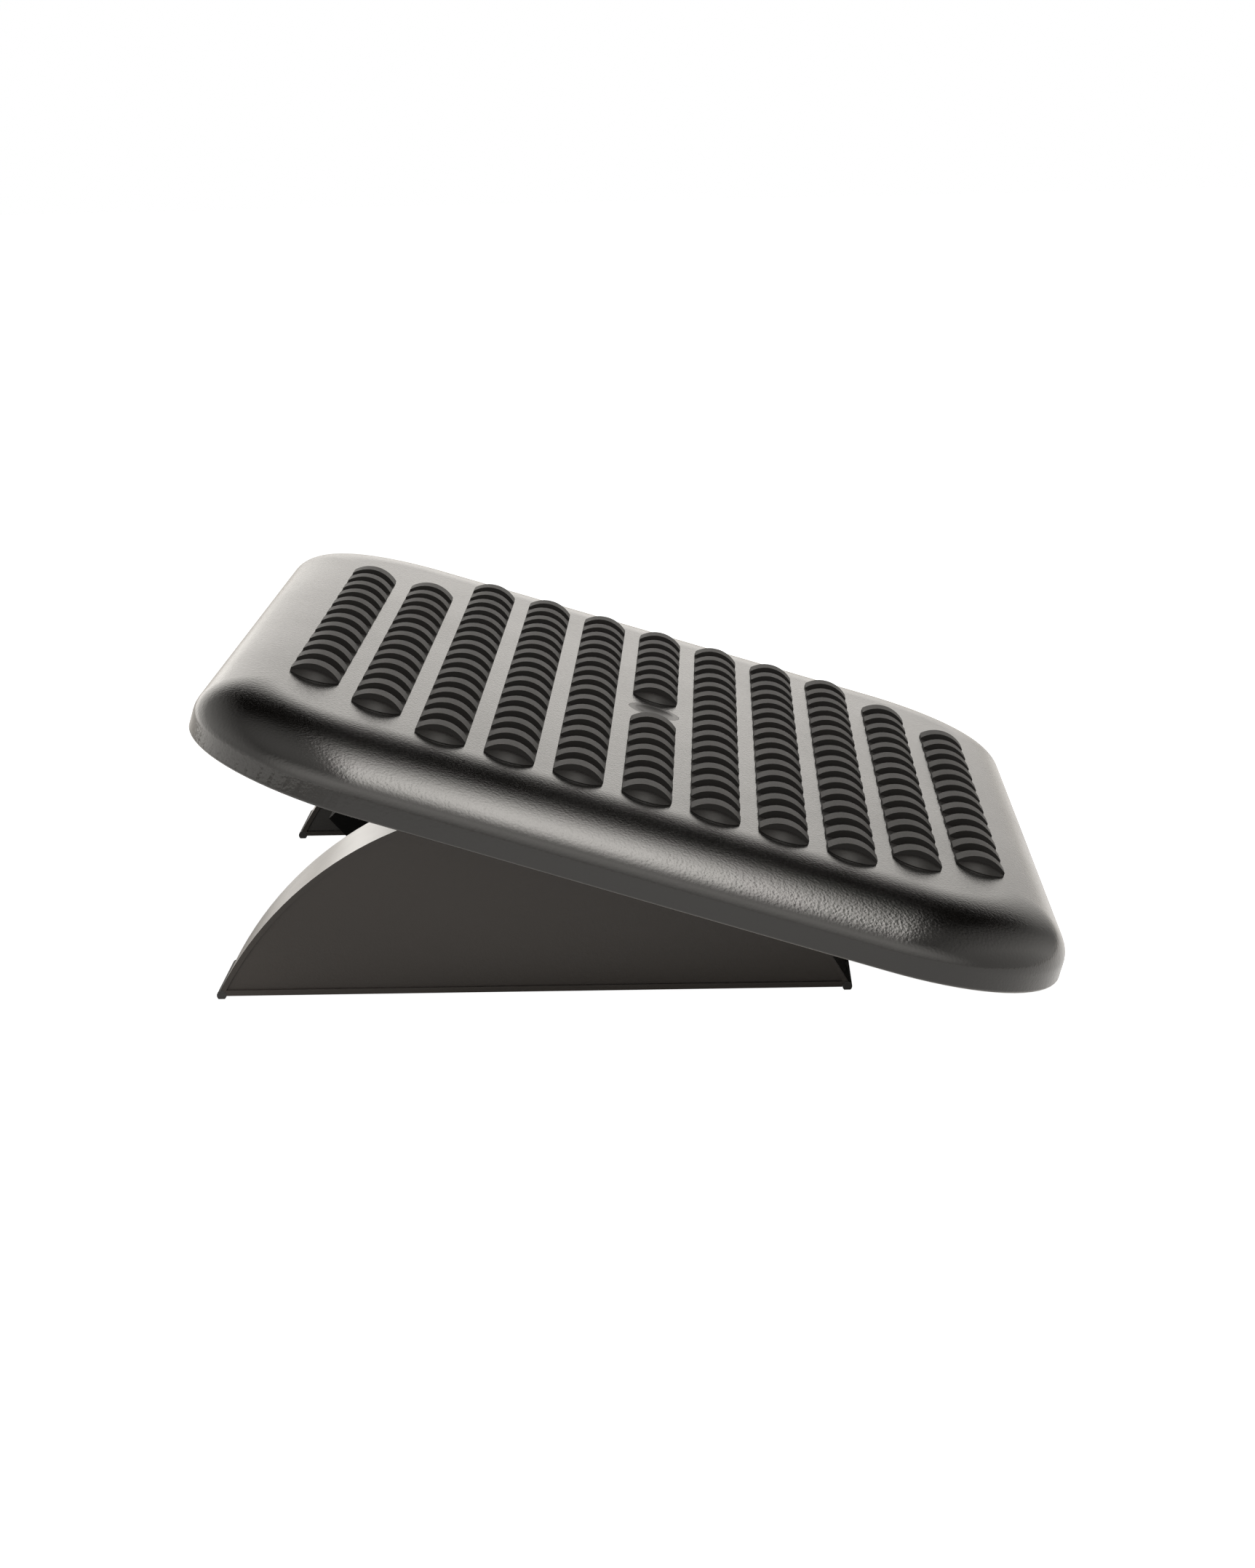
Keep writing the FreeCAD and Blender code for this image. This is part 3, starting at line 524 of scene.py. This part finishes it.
def mirrored_room(parts):
    """Light that the shiny plastic mirrors, by direction: x away from the camera, y left, z up"""
    side, up = parts.other("Y"), parts.other("Z")
    # how far a direction leans along the deck's near edge, tilted as stored
    lean = side * 0.954 + up * 0.30
    # light low down all round, fading toward the right
    high = ((up - 0.23 - lean.clamped().least(0.08) * 0.6) * 8.0).clamped()
    low_sky = (1 - high) * (side * 2.2 + 1.25).clamped() * 1.5
    # brighter low on the left, where the sliding arcs mirror it
    glare = ((side - 0.05) * 5.0).clamped() * ((0.2 - up) * 10.0).clamped() * 2.1
    # the room behind the camera, at both sides and overhead
    behind = (parts * -1.5).clamped() * (up * 2.0 + 1.3)
    left = ((side - 0.16) * 1.6).clamped() * 1.2
    right = ((side + 0.42) * -3.0).clamped()
    ceiling = ((up - 0.66) * 3.0).clamped() * 0.9
    # a soft box overhead, cut off at both ends along the near edge
    toward = parts * 0.18 + side * -0.33 + up * 0.927
    ends = ((lean + 0.15) * 18.0).clamped() * ((0.16 - lean) * 10.0).clamped()
    soft_box = ((toward - 0.71) / 0.29).clamped() ** 2.3 * ends * 9.4
    rest = low_sky.most(glare).most(behind).most(left).most(right).most(ceiling)
    return rest + soft_box


def room(fill):
    """Plain light on surfaces, white where it is seen, the room where it is mirrored"""
    w = Finish("room", world=True)
    seen, mirrored, through = rays(w)
    parts = w.node("ShaderNodeSeparateXYZ", {}, {
        "Vector": w.node("ShaderNodeTexCoord", output="Generated")})
    level = seen.most(through) + mirrored * mirrored_room(parts)
    level = level + (1 - seen.most(through).most(mirrored)) * fill
    tone = w.blend(mirrored, WHITE, (1.0, 0.965, 0.915))
    back = w.node("ShaderNodeBackground", {}, {"Color": tone, "Strength": level})
    w.node("ShaderNodeOutputWorld", {}, {"Surface": back})
    return w.block


def camera(lens):
    """The photograph's camera"""
    cam = bpy.data.cameras.new("camera")
    cam.sensor_width = SENSOR
    cam.lens = lens
    eye = bpy.data.objects.new("camera", cam)
    forward = Vector(CAMERA_LOOK).normalized()
    right = Vector(CAMERA_RIGHT).normalized()
    up = right.cross(forward).normalized()
    x_dir = math.cos(CAMERA_ROLL) * right + math.sin(CAMERA_ROLL) * up
    y_dir = -math.sin(CAMERA_ROLL) * right + math.cos(CAMERA_ROLL) * up
    turn = Matrix((x_dir, y_dir, -forward)).transposed()
    eye.matrix_world = Matrix.Translation(CAMERA_AT) @ turn.to_4x4()
    return eye


class FOOTREST_OT_stage(bpy.types.Operator):
    """Floor, room light, lamps and camera"""
    bl_idname = "footrest.stage"
    bl_label = "Stage"

    def execute(self, context):
        s = context.scene.footrest_stage
        scene = context.scene
        bm = bmesh.new()
        bmesh.ops.create_grid(bm, x_segments=1, y_segments=1, size=FLOOR_HALF)
        bmesh.ops.translate(bm, verts=bm.verts, vec=(0, 0, -FLOOR_DROP))
        mesh = bpy.data.meshes.new("floor")
        bm.to_mesh(mesh)
        bm.free()
        mesh.materials.append(floor_finish(tuple(s.floor_colour)))
        floor = bpy.data.objects.new("floor", mesh)
        scene.collection.objects.link(floor)
        scene.world = room(s.fill)
        lamp("overhead", *TOP_LAMP, s.top_power)
        lamp("front", *FRONT_LAMP, s.front_power)
        eye = camera(s.lens)
        scene.collection.objects.link(eye)
        scene.camera = eye
        scene.view_settings.view_transform = "Standard"
        return {"FINISHED"}


class FOOTREST_PT_panel(bpy.types.Panel):
    """Lists the pieces and their settings"""
    bl_label = "Footrest"
    bl_idname = "FOOTREST_PT_panel"
    bl_space_type = "VIEW_3D"
    bl_region_type = "UI"
    bl_category = "Footrest"

    def draw(self, context):
        layout = self.layout
        for group in (context.scene.footrest_deck, context.scene.footrest_base,
                      context.scene.footrest_stage):
            box = layout.box()
            for key in group.__annotations__:
                box.prop(group, key)
        for op in STEPS:
            layout.operator(op.bl_idname)


STEPS = (FOOTREST_OT_deck, FOOTREST_OT_bars, FOOTREST_OT_cap, FOOTREST_OT_supports,
         FOOTREST_OT_crossing, FOOTREST_OT_fasteners, FOOTREST_OT_feet, FOOTREST_OT_stage)
SETTINGS = (("footrest_deck", FootrestDeckSettings), ("footrest_base", FootrestBaseSettings),
            ("footrest_stage", FootrestStageSettings))


def register():
    for _, cls in SETTINGS:
        bpy.utils.register_class(cls)
    for cls in STEPS + (FOOTREST_PT_panel,):
        bpy.utils.register_class(cls)
    for name, cls in SETTINGS:
        setattr(bpy.types.Scene, name, PointerProperty(type=cls))


def unregister():
    for name, _ in reversed(SETTINGS):
        delattr(bpy.types.Scene, name)
    for cls in reversed(STEPS + (FOOTREST_PT_panel,)):
        bpy.utils.unregister_class(cls)
    for _, cls in reversed(SETTINGS):
        bpy.utils.unregister_class(cls)


def main():
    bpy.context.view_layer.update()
    register()
    for step in STEPS:
        space, name = step.bl_idname.split(".")
        getattr(getattr(bpy.ops, space), name)()


if __name__ == "__main__":
    main()
